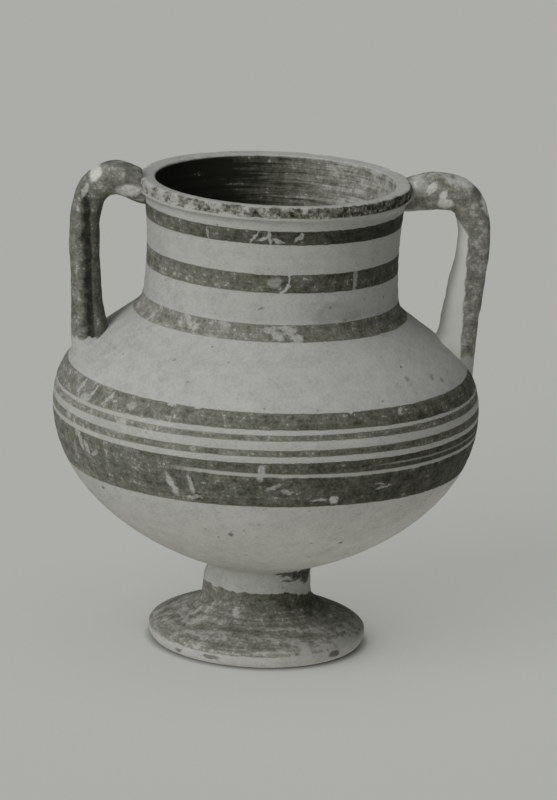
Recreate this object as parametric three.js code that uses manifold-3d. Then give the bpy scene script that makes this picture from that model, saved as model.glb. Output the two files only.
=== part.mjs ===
import * as THREE from "three";
import { mergeVertices } from "three/addons/utils/BufferGeometryUtils.js";
import Module from "manifold-3d";

// An amphoriskos: a small two-handled jar of fired clay on a stemmed foot.
// Millimetres, +Z up. The wheel axis is the Z axis and the jar stands on z = 0.
// Each thrown, pulled or coiled piece of clay is a solid of its own.

// Bed of slip between two pieces that are luted together
const SLIP_BED = 0.3;

// Foot: a flared disc, hollowed underneath
const FOOT_HEIGHT = 16;
const FOOT_BASE_RADIUS = 37;
const FOOT_EDGE_RADIUS = 39.2;
const FOOT_EDGE_HEIGHT = 4.6;
const FOOT_EDGE_EASE = 3;
const FOOT_EDGE_TUCK = 1.5;
const FOOT_SLOPE_SPREAD = 9;
const FOOT_SLOPE_FALL = 6;
const HOLLOW_RADIUS = 29;
const HOLLOW_CROWN_RADIUS = 21;
const HOLLOW_DEPTH = 9;

// Stem: a short drum, slightly waisted, between the foot and the bowl
const STEM_HEIGHT = 13.7;
const STEM_FOOT_RADIUS = 21;
const STEM_WAIST_RADIUS = 18.6;
const STEM_TOP_RADIUS = 19.6;

// Bowl: the lower half of the body, up to its widest line
const BOWL_HEIGHT = 57;
const BODY_RADIUS = 76.3;
const BODY_WALL = 5.5;
const BOWL_FLOOR = 7.5;
const BOWL_SPREAD = 28;
const BOWL_LIFT = 9;
const BOWL_FULLNESS = 28;
const SEAM_LAP = 3;

// Shoulder: the upper half of the body, from its widest line to the neck
const SHOULDER_HEIGHT = 34.9;
const SHOULDER_FULLNESS = 17;
const SHOULDER_SPREAD = 18;
const SHOULDER_FALL = 14;
const SHOULDER_LEDGE = 1.4;

// Neck: a waisted collar
const NECK_HEIGHT = 39.4;
const NECK_BASE_RADIUS = 46.2;
const NECK_WAIST_RADIUS = 44.9;
const NECK_TOP_RADIUS = 46.4;
const NECK_WALL = 4.8;

// Rim: an overhanging lip with an upright edge and a slightly dished top
const RIM_HEIGHT = 7.2;
const RIM_OVERHANG = 2;
const RIM_EDGE_HEIGHT = 4.2;
const RIM_ROUNDING = 0.8;
const RIM_TOP_WIDTH = 6;
const RIM_DISH = 0.5;

// Coils of clay pressed into the corners under the bowl and around the neck
const NECK_COIL_HEIGHT = 6.5;
const NECK_COIL_SPREAD = 5;
const STEM_COIL_HEIGHT = 4;
const STEM_COIL_SPREAD = 4.5;
const COIL_EDGE = 0.7;

// Handles: oval straps that spring from the rim, arch over and come down on the shoulder
const HANDLE_WIDTH = 14.5;
const LEFT_THICKNESS = 10;
const RIGHT_THICKNESS = 11.5;
const LEFT_AZIMUTH = 184;
const RIGHT_AZIMUTH = 8;
const LEFT_STANDOFF = 17.9;
const RIGHT_STANDOFF = 24.2;
const LEFT_ROOT_DROP = 4.6;
const RIGHT_ROOT_DROP = 5.6;
const LEFT_ARCH_RISE = 9;
const RIGHT_ARCH_RISE = 4;
const LEFT_ARCH_REACH = 12;
const RIGHT_ARCH_REACH = 16;
const LEFT_GRIP_DROP = 19.7;
const RIGHT_GRIP_DROP = 17.7;
const LEFT_FOOT_INSET = 12.7;
const RIGHT_FOOT_INSET = 9.6;
const ARCH_EASE = 15;
const GRIP_EASE = 13;
const ROOT_SINK = 5;
const FOOT_SINK = 9;

// Clay smeared around the ends of the handles
const UPPER_LUTING_LENGTH = 5;
const UPPER_LUTING_FLARE = 2.2;
const LOWER_LUTING_LENGTH = 11;
const LOWER_LUTING_FLARE = 4;
const LUTING_EDGE = 1.1;

// Fineness of the turned and swept surfaces
const TURN_SEGMENTS = 48;
const CURVE_STEPS = 9;
const SHORT_CURVE_STEPS = 6;
const HANDLE_STEPS = 24;
const HANDLE_SIDES = 8;
const ARCH_SAMPLES = 60;
const LUTING_SEGMENTS = 20;
const LUTING_STEPS = 4;
const WELD = 1e-4;

// Levels of the stack, from the standing face up
const stemLevel = FOOT_HEIGHT + SLIP_BED;
const bowlLevel = stemLevel + STEM_HEIGHT + SLIP_BED;
const seamLevel = bowlLevel + BOWL_HEIGHT;
const shoulderLevel = seamLevel + SLIP_BED;
const neckSeatLevel = shoulderLevel + SHOULDER_HEIGHT;
const neckLevel = neckSeatLevel + SLIP_BED;
const neckTopLevel = neckLevel + NECK_HEIGHT;
const rimLevel = neckTopLevel + SLIP_BED;
const topLevel = rimLevel + RIM_HEIGHT;
const rimRadius = NECK_TOP_RADIUS + RIM_OVERHANG;
const shoulderTopRadius = NECK_BASE_RADIUS + SHOULDER_LEDGE;

const wasm = await Module();
wasm.setup();

// A point of a profile: distance from the wheel axis and height
function at(radius, height) {
  return new THREE.Vector2(radius, height);
}

function curve(start, startPull, endPull, end, steps = CURVE_STEPS) {
  return new THREE.CubicBezierCurve(start, startPull, endPull, end).getPoints(steps);
}

// The curve that a wall's other face follows, to the left of the way it is drawn
function offset(points, distance) {
  return points.map((point, index) => {
    const before = points[Math.max(index - 1, 0)];
    const after = points[Math.min(index + 1, points.length - 1)];
    const along = after.clone().sub(before).normalize();
    return at(point.x - along.y * distance, point.y + along.x * distance);
  });
}

// Height of a profile at a given distance from the axis
function heightAt(points, radius) {
  const index = points.findIndex((point, i) => i > 0 && point.x <= radius);
  const [outer, inner] = [points[index - 1], points[index]];
  const share = (outer.x - radius) / (outer.x - inner.x);
  return outer.y + share * (inner.y - outer.y);
}

// Distance of a profile from the axis at a given height, for a profile drawn upwards
function radiusAt(points, height) {
  const index = points.findIndex((point, i) => i > 0 && point.y >= height);
  const [lower, upper] = [points[index - 1], points[index]];
  const share = (height - lower.y) / (upper.y - lower.y);
  return lower.x + share * (upper.x - lower.x);
}

// A solid of revolution around the wheel axis
function turn(profile, segments = TURN_SEGMENTS) {
  const geometry = new THREE.LatheGeometry(profile, segments);
  geometry.rotateX(Math.PI / 2);
  return geometry;
}

function ring(profile) {
  return turn([...profile, profile[0].clone()]);
}

function toSolid(geometry) {
  const bare = geometry.clone();
  bare.deleteAttribute("normal");
  bare.deleteAttribute("uv");
  const welded = mergeVertices(bare, WELD);
  const corners = welded.index.array;
  const triangles = [];
  for (let i = 0; i < corners.length; i += 3) {
    const [a, b, c] = corners.slice(i, i + 3);
    if (a !== b && b !== c && c !== a) triangles.push(a, b, c);
  }
  return new wasm.Manifold(new wasm.Mesh({
    numProp: 3,
    vertProperties: new Float32Array(welded.attributes.position.array),
    triVerts: new Uint32Array(triangles),
  }));
}

function toGeometry(solid) {
  const mesh = solid.getMesh();
  const geometry = new THREE.BufferGeometry();
  geometry.setAttribute("position", new THREE.BufferAttribute(mesh.vertProperties, 3));
  geometry.setIndex(new THREE.BufferAttribute(mesh.triVerts, 1));
  geometry.computeVertexNormals();
  return geometry;
}

function paleClay() {
  return new THREE.MeshStandardMaterial({ color: 0xb5b4aa, roughness: 0.88, metalness: 0 });
}

function darkSlip() {
  return new THREE.MeshStandardMaterial({ color: 0x4b4a43, roughness: 0.7, metalness: 0 });
}

const jar = new THREE.Group();

function addPiece(name, geometry, material) {
  const mesh = new THREE.Mesh(geometry, material);
  mesh.name = name;
  jar.add(mesh);
}

// Outer faces of the body, drawn from the bottom up
const bowlOuter = curve(
  at(STEM_TOP_RADIUS, bowlLevel),
  at(STEM_TOP_RADIUS + BOWL_SPREAD, bowlLevel + BOWL_LIFT),
  at(BODY_RADIUS, seamLevel - BOWL_FULLNESS),
  at(BODY_RADIUS, seamLevel),
);
const shoulderOuter = curve(
  at(BODY_RADIUS, shoulderLevel),
  at(BODY_RADIUS, shoulderLevel + SHOULDER_FULLNESS),
  at(shoulderTopRadius + SHOULDER_SPREAD, neckSeatLevel - SHOULDER_FALL),
  at(shoulderTopRadius, neckSeatLevel),
);
const neckPull = 2 * NECK_WAIST_RADIUS - (NECK_BASE_RADIUS + NECK_TOP_RADIUS) / 2;
const neckOuter = new THREE.QuadraticBezierCurve(
  at(NECK_BASE_RADIUS, neckLevel),
  at(neckPull, (neckLevel + neckTopLevel) / 2),
  at(NECK_TOP_RADIUS, neckTopLevel),
).getPoints(SHORT_CURVE_STEPS);
const edgeTop = topLevel - RIM_ROUNDING;
const edgeFoot = edgeTop - RIM_EDGE_HEIGHT;
const rimOuter = [
  at(NECK_TOP_RADIUS, rimLevel),
  at(NECK_TOP_RADIUS + RIM_OVERHANG / 2, (rimLevel + edgeFoot) / 2),
  at(rimRadius, edgeFoot),
  at(rimRadius, edgeTop),
];

function makeFoot() {
  const slope = curve(
    at(FOOT_EDGE_RADIUS, FOOT_EDGE_HEIGHT),
    at(FOOT_EDGE_RADIUS, FOOT_EDGE_HEIGHT + FOOT_EDGE_EASE),
    at(STEM_FOOT_RADIUS + FOOT_SLOPE_SPREAD, FOOT_HEIGHT - FOOT_SLOPE_FALL),
    at(STEM_FOOT_RADIUS, FOOT_HEIGHT),
    SHORT_CURVE_STEPS,
  );
  const tuck = new THREE.QuadraticBezierCurve(
    at(FOOT_BASE_RADIUS, 0),
    at(FOOT_EDGE_RADIUS, FOOT_EDGE_TUCK),
    at(FOOT_EDGE_RADIUS, FOOT_EDGE_HEIGHT),
  ).getPoints(LUTING_STEPS);
  return turn([
    at(0, HOLLOW_DEPTH),
    at(HOLLOW_CROWN_RADIUS, HOLLOW_DEPTH),
    at(HOLLOW_RADIUS, 0),
    ...tuck.slice(0, -1),
    ...slope,
    at(0, FOOT_HEIGHT),
  ]);
}

function makeStem() {
  const pull = 2 * STEM_WAIST_RADIUS - (STEM_FOOT_RADIUS + STEM_TOP_RADIUS) / 2;
  const top = stemLevel + STEM_HEIGHT;
  const side = new THREE.QuadraticBezierCurve(
    at(STEM_FOOT_RADIUS, stemLevel),
    at(pull, (stemLevel + top) / 2),
    at(STEM_TOP_RADIUS, top),
  ).getPoints(SHORT_CURVE_STEPS);
  return { side, geometry: turn([at(0, stemLevel), ...side, at(0, top)]) };
}

// The bowl's wall ends in a tongue along its inner half, which the shoulder laps over
function makeBowl() {
  const floor = bowlLevel + BOWL_FLOOR;
  const inner = offset(bowlOuter, BODY_WALL).filter((point) => point.y > floor + SLIP_BED);
  const middle = BODY_RADIUS - BODY_WALL / 2;
  return turn([
    at(0, bowlLevel),
    ...bowlOuter,
    at(middle - SLIP_BED / 2, seamLevel),
    at(middle - SLIP_BED / 2, seamLevel + SEAM_LAP),
    at(BODY_RADIUS - BODY_WALL, seamLevel + SEAM_LAP),
    ...inner.reverse(),
    at(inner.at(-1).x - BODY_WALL, floor),
    at(0, floor),
  ]);
}

function makeShoulder() {
  const lapTop = seamLevel + SEAM_LAP + SLIP_BED;
  const middle = BODY_RADIUS - BODY_WALL / 2;
  const inner = offset(shoulderOuter, BODY_WALL).filter((point) => point.y > lapTop + SLIP_BED);
  const mouth = inner.filter((point) => point.y < neckSeatLevel - BODY_WALL);
  return ring([
    ...shoulderOuter,
    at(NECK_BASE_RADIUS - NECK_WALL, neckSeatLevel),
    at(NECK_BASE_RADIUS - NECK_WALL, neckSeatLevel - BODY_WALL),
    ...mouth.reverse(),
    at(BODY_RADIUS - BODY_WALL, lapTop),
    at(middle + SLIP_BED / 2, lapTop),
    at(middle + SLIP_BED / 2, shoulderLevel),
  ]);
}

function makeNeck() {
  const inner = neckOuter.map((point) => at(point.x - NECK_WALL, point.y));
  return ring([...neckOuter, ...inner.reverse()]);
}

function makeRim() {
  const mouthRadius = rimRadius - RIM_TOP_WIDTH;
  return ring([
    ...rimOuter,
    at(rimRadius - RIM_ROUNDING, topLevel),
    at(mouthRadius, topLevel - RIM_DISH),
    at(NECK_TOP_RADIUS - NECK_WALL, topLevel - RIM_EDGE_HEIGHT),
    at(NECK_TOP_RADIUS - NECK_WALL, rimLevel),
  ]);
}

// A coil in a corner between an upright wall and a sloping one, with a hollow face
function makeCoil(uprightFace, slopingFace) {
  const top = uprightFace[0];
  const end = slopingFace.at(-1);
  const corner = uprightFace.at(-1);
  const upperEdge = at(top.x + COIL_EDGE, top.y);
  const lowerEdge = at(end.x, end.y + Math.sign(top.y - end.y) * COIL_EDGE);
  const face = new THREE.QuadraticBezierCurve(
    lowerEdge,
    at(corner.x + COIL_EDGE, (corner.y + lowerEdge.y) / 2),
    upperEdge,
  ).getPoints(LUTING_STEPS);
  const profile = [...uprightFace, ...slopingFace, ...face.slice(0, -1), upperEdge];
  return ring(top.y > end.y ? profile : profile.reverse());
}

function makeNeckCoil() {
  const top = neckLevel + NECK_COIL_HEIGHT;
  const edge = offset(shoulderOuter, -SLIP_BED);
  const reach = shoulderTopRadius + NECK_COIL_SPREAD;
  const slope = edge.filter((point) => point.x < reach && point.y < neckSeatLevel);
  return makeCoil(
    [at(radiusAt(neckOuter, top) + SLIP_BED, top), at(NECK_BASE_RADIUS + SLIP_BED, neckLevel)],
    [at(shoulderTopRadius, neckLevel), ...slope.reverse(), at(reach, heightAt(edge, reach))],
  );
}

function makeStemCoil(stemSide) {
  const stemTop = stemLevel + STEM_HEIGHT;
  const low = stemTop - STEM_COIL_HEIGHT;
  const edge = offset(bowlOuter, -SLIP_BED);
  const reach = STEM_TOP_RADIUS + STEM_COIL_SPREAD;
  const under = edge.filter((point) => point.x > STEM_TOP_RADIUS + SLIP_BED && point.x < reach);
  const falling = [...edge].reverse();
  return makeCoil(
    [at(radiusAt(stemSide, low) + SLIP_BED, low), at(STEM_TOP_RADIUS + SLIP_BED, stemTop)],
    [...under, at(reach, heightAt(falling, reach))],
  );
}

// Solids that stand for the jar where a handle or its luting is cut to meet it
function makeThroatCutter() {
  const wall = offset([...neckOuter, ...rimOuter], -SLIP_BED);
  const clear = rimRadius + SLIP_BED;
  const above = topLevel + HANDLE_WIDTH;
  return toSolid(turn([at(0, neckLevel), ...wall, at(clear, edgeTop), at(clear, above), at(0, above)]));
}

function makeBodyCutter() {
  const wall = offset([...bowlOuter, ...shoulderOuter], -SLIP_BED);
  return toSolid(turn([at(0, bowlLevel), ...wall, at(0, neckSeatLevel)]));
}

// A handle's centre line, drawn in the plane through the wheel axis, from the rim to the shoulder
function handlePath({ standoff, rootDrop, archRise, archReach, gripDrop, footInset }) {
  const point = (radius, height) => new THREE.Vector3(radius, 0, height);
  const grip = rimRadius + standoff;
  const gripLevel = topLevel - gripDrop;
  const footRadius = BODY_RADIUS - footInset;
  const footLevel = heightAt(shoulderOuter, footRadius);
  const root = point(rimRadius - ROOT_SINK, topLevel - rootDrop);
  const arch = new THREE.CubicBezierCurve3(
    root,
    point(root.x + archReach, root.z + archRise),
    point(grip, gripLevel + ARCH_EASE),
    point(grip, gripLevel),
  );
  const path = new THREE.CurvePath();
  path.add(arch);
  path.add(new THREE.CubicBezierCurve3(
    point(grip, gripLevel),
    point(grip, gripLevel - GRIP_EASE),
    point(footRadius, footLevel + GRIP_EASE),
    point(footRadius, footLevel - FOOT_SINK),
  ));
  const collarRadius = rimRadius + UPPER_LUTING_LENGTH / 2;
  const share = arch.getPoints(ARCH_SAMPLES).findIndex((step) => step.x > collarRadius) / ARCH_SAMPLES;
  const spring = { point: arch.getPoint(share), along: arch.getTangent(share) };
  return { path, spring, foot: point(footRadius, footLevel) };
}

function sweepHandle(path, width, thickness) {
  const oval = new THREE.Shape();
  oval.absellipse(0, 0, width / 2, thickness / 2, 0, 2 * Math.PI);
  return new THREE.ExtrudeGeometry(oval, {
    steps: HANDLE_STEPS,
    curveSegments: HANDLE_SIDES,
    extrudePath: path,
    bevelEnabled: false,
  });
}

// A trumpet of clay around the end of a handle, before the handle and the wall are cut from it
function makeTrumpet(length, flare, sink, thickness) {
  const half = HANDLE_WIDTH / 2;
  const side = new THREE.QuadraticBezierCurve(
    at(half + flare, 0),
    at(half + LUTING_EDGE, length / 3),
    at(half + LUTING_EDGE, length),
  ).getPoints(LUTING_STEPS);
  const profile = [at(0, -sink), at(half + flare, -sink), ...side, at(0, length)];
  const geometry = turn(profile, LUTING_SEGMENTS);
  const flatten = (thickness / 2 + LUTING_EDGE) / (half + LUTING_EDGE);
  geometry.scale(flatten, 1, 1);
  return geometry;
}

function addHandle(side, azimuth, thickness, shape) {
  const { path, spring, foot } = handlePath(shape);
  const turned = (geometry) => geometry.rotateZ(THREE.MathUtils.degToRad(azimuth));
  const strap = toSolid(turned(sweepHandle(path, HANDLE_WIDTH, thickness)));
  const bedding = 2 * SLIP_BED;
  const room = toSolid(turned(sweepHandle(path, HANDLE_WIDTH + bedding, thickness + bedding)));
  addPiece(`${side}_handle`, toGeometry(strap.subtract(throatCutter).subtract(bodyCutter)), darkSlip());

  const upper = makeTrumpet(UPPER_LUTING_LENGTH, UPPER_LUTING_FLARE, ROOT_SINK, thickness);
  upper.translate(0, 0, -UPPER_LUTING_LENGTH / 2);
  upper.rotateY(Math.atan2(spring.along.x, spring.along.z));
  upper.translate(spring.point.x, 0, spring.point.z);
  const upperClay = toSolid(turned(upper)).subtract(throatCutter).subtract(room);
  addPiece(`${side}_handle_upper_luting`, toGeometry(upperClay), darkSlip());

  const lower = makeTrumpet(LOWER_LUTING_LENGTH, LOWER_LUTING_FLARE, FOOT_SINK, thickness);
  lower.translate(foot.x, 0, foot.z);
  const lowerClay = toSolid(turned(lower)).subtract(bodyCutter).subtract(room);
  addPiece(`${side}_handle_lower_luting`, toGeometry(lowerClay), paleClay());
}

const stem = makeStem();
addPiece("foot", makeFoot(), darkSlip());
addPiece("stem", stem.geometry, paleClay());
addPiece("stem_luting_coil", makeStemCoil(stem.side), paleClay());
addPiece("bowl", makeBowl(), paleClay());
addPiece("shoulder", makeShoulder(), paleClay());
addPiece("neck_luting_coil", makeNeckCoil(), paleClay());
addPiece("neck", makeNeck(), paleClay());
addPiece("rim", makeRim(), darkSlip());

const throatCutter = makeThroatCutter();
const bodyCutter = makeBodyCutter();
addHandle("left", LEFT_AZIMUTH, LEFT_THICKNESS, {
  standoff: LEFT_STANDOFF,
  rootDrop: LEFT_ROOT_DROP,
  archRise: LEFT_ARCH_RISE,
  archReach: LEFT_ARCH_REACH,
  gripDrop: LEFT_GRIP_DROP,
  footInset: LEFT_FOOT_INSET,
});
addHandle("right", RIGHT_AZIMUTH, RIGHT_THICKNESS, {
  standoff: RIGHT_STANDOFF,
  rootDrop: RIGHT_ROOT_DROP,
  archRise: RIGHT_ARCH_RISE,
  archReach: RIGHT_ARCH_REACH,
  gripDrop: RIGHT_GRIP_DROP,
  footInset: RIGHT_FOOT_INSET,
});

// The origin lies on the standing face, under the middle of the jar's box
const boxMiddle = new THREE.Box3().setFromObject(jar).getCenter(new THREE.Vector3());
jar.position.set(-boxMiddle.x, -boxMiddle.y, 0);

export default jar;
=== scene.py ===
# %% [markdown]
# # A small two-handled jar with painted bands
# The jar was thrown in parts on a potter's wheel, put together while the clay was leather hard, and painted
# with bands of dark slip as it turned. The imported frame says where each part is, so it is loaded first and
# every piece below is drawn around the same wheel axis.

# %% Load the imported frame
import math

import bpy
from mathutils import Matrix, Vector


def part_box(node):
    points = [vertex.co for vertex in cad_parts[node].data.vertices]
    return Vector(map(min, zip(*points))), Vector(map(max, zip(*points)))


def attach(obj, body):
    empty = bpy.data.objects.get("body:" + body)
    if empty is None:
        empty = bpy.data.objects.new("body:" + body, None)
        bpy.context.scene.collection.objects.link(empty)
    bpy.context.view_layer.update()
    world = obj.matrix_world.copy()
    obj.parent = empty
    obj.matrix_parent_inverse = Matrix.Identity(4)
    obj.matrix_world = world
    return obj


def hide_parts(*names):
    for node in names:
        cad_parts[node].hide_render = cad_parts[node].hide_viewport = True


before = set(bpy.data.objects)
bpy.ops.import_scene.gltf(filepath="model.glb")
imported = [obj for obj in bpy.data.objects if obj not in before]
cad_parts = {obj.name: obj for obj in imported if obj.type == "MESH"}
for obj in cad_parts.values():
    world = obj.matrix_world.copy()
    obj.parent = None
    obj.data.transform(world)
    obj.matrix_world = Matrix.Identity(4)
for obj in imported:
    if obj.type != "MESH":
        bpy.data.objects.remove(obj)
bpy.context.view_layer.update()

MM = 0.001

# %% [markdown]
# ## Levels and radii
# A thrown jar is described by its levels up the wheel axis and its radius at each. They are read from the
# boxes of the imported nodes, so the drawn pieces stay inside the solids' box. The wall is pulled in by a
# quarter of a millimetre, which leaves room for the slight unevenness of hand work.

# %% Levels and radii, in millimetres
def span(node):
    low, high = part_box(node)
    return low / MM, high / MM


def half_width(node):
    low, high = span(node)
    return (high.y - low.y) / 2


SLIP_BED = 0.3
HAND_PLAY = 0.25

axis_x = (span("bowl")[0].x + span("bowl")[1].x) / 2
foot_top = span("foot")[1].z + SLIP_BED / 2
bowl_base = span("stem")[1].z + SLIP_BED / 2
belly_level = span("shoulder")[0].z - SLIP_BED / 2
neck_base = span("neck")[0].z - SLIP_BED / 2
neck_top = span("rim")[0].z - SLIP_BED / 2
lip_level = span("rim")[1].z

foot_radius = half_width("foot") - HAND_PLAY
body_radius = half_width("bowl") - HAND_PLAY
lip_radius = half_width("rim") - HAND_PLAY
throat_radius = half_width("neck") - HAND_PLAY
print("wheel axis at x", round(axis_x, 2), "belly", round(belly_level, 2), "lip", round(lip_level, 2))

# %% [markdown]
# ## Strokes of the profile
# The outline of a thrown wall is a chain of smooth strokes, each drawn by the potter's rib in one sweep. One
# long curve could trace it, but separate strokes part the wall where one piece of clay meets the next. Each is
# cubic, with two pulls between its ends, and strokes meet in the same direction where the clay was smoothed
# over. A small ripple up the wall gives the turning marks that fingers leave.

# %% Strokes
TURNING_MARK = 0.05
# Each ripple: radians for each millimetre up the wall, its share, and where it starts.
RIPPLES = ((1.45, 1.0, 0.0), (3.4, 0.6, 1.0))


def stroke(start, start_pull, end_pull, end, steps):
    corners = (start, start_pull, end_pull, end)
    points = []
    for step in range(steps + 1):
        t = step / steps
        weights = ((1 - t) ** 3, 3 * t * (1 - t) ** 2, 3 * t * t * (1 - t), t ** 3)
        points.append(tuple(sum(w * c[i] for w, c in zip(weights, corners)) for i in (0, 1)))
    return points


def turned(points, depth=TURNING_MARK):
    marked = []
    for r, z in points:
        ripple = sum(share * math.sin(pitch * z + start) for pitch, share, start in RIPPLES)
        marked.append((r + depth * ripple, z))
    return marked


def towards(point, neighbour, length):
    dr, dz = point[0] - neighbour[0], point[1] - neighbour[1]
    scale = length / math.hypot(dr, dz)
    return (point[0] + dr * scale, point[1] + dz * scale)


print("a stroke of 4 steps has", len(stroke((0, 0), (0, 1), (1, 1), (1, 2), 4)), "points")

# %% [markdown]
# ## Outer strokes
# The foot flares to a rounded edge, the stem is a short waisted drum, the bowl opens to the belly, and the
# shoulder turns in to the neck. Soft coils of clay fill the corners under the bowl and round the neck. A coil's
# stroke starts where the wall leaves the corner and runs on in its direction, so that no edge shows there.
# The pulls of each stroke, its two middle points, were matched to the outline.

# %% Outer strokes of the foot and the stem
FOOT_REST_RADIUS = 36.0
FOOT_WIDEST = 4.7
FOOT_ROLL_END = (33.5, 8.9)
STEM_FOOT_RADIUS = 20.2
STEM_WAIST = (18.7, 24.0)
STEM_COIL_START = (18.7, 27.6)

foot_edge = stroke((FOOT_REST_RADIUS, 0), (37.8, 0.2), (foot_radius, 1.9), (foot_radius, FOOT_WIDEST), 12)
foot_roll = stroke((foot_radius, FOOT_WIDEST), (foot_radius, 6.6), (37.2, 7.3), FOOT_ROLL_END, 14)
foot_slope = stroke(FOOT_ROLL_END, (28.7, 10.6), (23.5, 12.6), (STEM_FOOT_RADIUS, foot_top), 18)
stem_flare = stroke((STEM_FOOT_RADIUS, foot_top), (19.1, foot_top + 0.73), (18.8, 18.6), STEM_WAIST, 14)
stem_rise = stroke(STEM_WAIST, (18.5, 25.5), (18.6, 26.4), STEM_COIL_START, 6)
print("foot radius", round(foot_radius, 2), "mm, stem waist", STEM_WAIST[0], "mm")

# %% Outer strokes of the bowl, the shoulder and the neck
BOWL_START_RADIUS = 19.6
STEM_COIL_SPREAD = 8.0
STEM_COIL_PULL = 4.5
SHOULDER_TOP_RADIUS = 47.6
NECK_START_RADIUS = 46.0
NECK_COIL_TOP = 129.5
NECK_COIL_SPREAD = 4.8
NECK_COIL_PULLS = (6.2, 5.6)

belly = (body_radius, belly_level)
bowl_wall = stroke((BOWL_START_RADIUS, bowl_base), (47.6, 39.2), (body_radius, 59.3), belly, 72)
bowl_start = next(i for i, p in enumerate(bowl_wall) if p[0] > BOWL_START_RADIUS + STEM_COIL_SPREAD)
bowl_open = bowl_wall[bowl_start:]
stem_fillet = stroke(
    STEM_COIL_START,
    (18.9, bowl_base + 0.6),
    towards(bowl_open[0], bowl_open[1], STEM_COIL_PULL),
    bowl_open[0],
    16,
)

shoulder_wall = stroke(belly, (body_radius, 104.6), (65.6, 108.5), (SHOULDER_TOP_RADIUS, neck_base), 60)
shoulder_end = next(i for i, p in enumerate(shoulder_wall) if p[0] < SHOULDER_TOP_RADIUS + NECK_COIL_SPREAD)
shoulder_open = shoulder_wall[: shoulder_end + 1]
neck_wall = stroke((NECK_START_RADIUS, neck_base), (44.2, 135.5), (44.2, 149.5), (throat_radius, neck_top), 56)
neck_start = next(i for i, p in enumerate(neck_wall) if p[1] > NECK_COIL_TOP)
neck_open = neck_wall[neck_start:]
neck_fillet = stroke(
    shoulder_open[-1],
    towards(shoulder_open[-1], shoulder_open[-2], NECK_COIL_PULLS[0]),
    towards(neck_open[0], neck_open[1], NECK_COIL_PULLS[1]),
    neck_open[0],
    20,
)
foot_and_stem = foot_edge + foot_roll + foot_slope + stem_flare + stem_rise
outer_wall = foot_and_stem + stem_fillet + bowl_open + shoulder_open + neck_fillet + neck_open
print("outer wall:", len(outer_wall), "points")

# %% [markdown]
# ## Throwing on the wheel
# A thrown piece is a section turned round the wheel axis. By hand: shrink a new plane to one point, move it
# to the first point of the section, extrude from point to point, and spin the line round the axis. The start
# and end of the turn lie on each other, so doubles are merged and the normals recalculated. A Screw modifier
# could turn it as well, but spin leaves a plain mesh, into which chips can be pressed at once.

# %% Throw one piece
TURN_STEPS = 192
WELD = 0.002 * MM


def throw(name, section, steps=TURN_STEPS):
    bpy.ops.object.select_all(action="DESELECT")
    bpy.ops.mesh.primitive_plane_add(size=MM)
    piece = bpy.context.active_object
    piece.name = piece.data.name = name
    bpy.ops.object.mode_set(mode="EDIT")
    bpy.ops.mesh.select_mode(type="VERT")
    bpy.ops.mesh.select_all(action="SELECT")
    bpy.ops.mesh.merge(type="CENTER")
    bpy.ops.transform.translate(value=((axis_x + section[0][0]) * MM, 0, section[0][1] * MM))
    for (r0, z0), (r1, z1) in zip(section, section[1:]):
        step = ((r1 - r0) * MM, 0, (z1 - z0) * MM)
        bpy.ops.mesh.extrude_region_move(TRANSFORM_OT_translate={"value": step})
    bpy.ops.mesh.select_all(action="SELECT")
    bpy.ops.mesh.spin(steps=steps, angle=math.tau, center=(axis_x * MM, 0, 0), axis=(0, 0, 1))
    bpy.ops.mesh.select_all(action="SELECT")
    bpy.ops.mesh.remove_doubles(threshold=WELD)
    bpy.ops.mesh.normals_make_consistent(inside=False)
    bpy.ops.object.mode_set(mode="OBJECT")
    return piece


print("a thrown piece has", TURN_STEPS, "steps round the axis")

# %% [markdown]
# ## The wobble of the hand
# A wall thrown by hand isn't quite true. Points could be shaken one by one, but that would tear the joints
# open. Two gentle Displace modifiers, each with a broad cloud, push sideways only, so that neighbouring pieces
# move together and the foot stays flat on the table.

# %% Give a piece its wobble
WOBBLE_SIZE = 0.055
WOBBLE_PUSH = 0.00055

hand_wobble = {}
for direction, basis in (("X", "ORIGINAL_PERLIN"), ("Y", "IMPROVED_PERLIN")):
    cloud = bpy.data.textures.new("hand_wobble_" + direction.lower(), type="CLOUDS")
    cloud.noise_scale = WOBBLE_SIZE
    cloud.noise_basis = basis
    cloud.noise_depth = 1
    hand_wobble[direction] = cloud


def give_wobble(piece):
    bpy.context.view_layer.objects.active = piece
    for direction, cloud in hand_wobble.items():
        push = piece.modifiers.new("wobble_" + direction.lower(), "DISPLACE")
        push.texture = cloud
        push.texture_coords = "LOCAL"
        push.direction = direction
        push.mid_level = 0.5
        push.strength = WOBBLE_PUSH
        bpy.ops.object.modifier_apply(modifier=push.name)


print("hand wobble pushes along", sorted(hand_wobble), "by up to", round(WOBBLE_PUSH / MM / 2, 3), "mm")

# %% [markdown]
# ## Handing a piece over
# A finished piece gets smooth shading with its real edges kept sharp, rides on the jar's one body, and stands
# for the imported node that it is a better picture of.

# %% Finish one piece
SHARP_EDGE = math.radians(38)


def finish_piece(piece, node):
    bpy.ops.object.select_all(action="DESELECT")
    piece.select_set(True)
    bpy.context.view_layer.objects.active = piece
    bpy.ops.object.shade_smooth_by_angle(angle=SHARP_EDGE)
    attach(piece, "root")
    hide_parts(node)
    print(piece.name, len(piece.data.polygons), "faces")


print("edges sharper than", round(math.degrees(SHARP_EDGE)), "degrees stay sharp")

# %% [markdown]
# ## Foot and stem
# The foot was thrown upside down, so its hollow has a smooth crown. The stem sits on it as a short solid
# drum, and a coil under the bowl makes the turn from upright to open. Each section is drawn as a closed line,
# or from the axis and back to it, so that the spin leaves a solid with no hole.

# %% Foot, stem and the coil above the stem
HOLLOW_CROWN = 9.0
HOLLOW_EDGE = (29.0, 0.4)
COIL_BED = (17.4, 28.6)
COIL_CORNER = (17.4, bowl_base)
BED_DEPTH = 1.2

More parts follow.
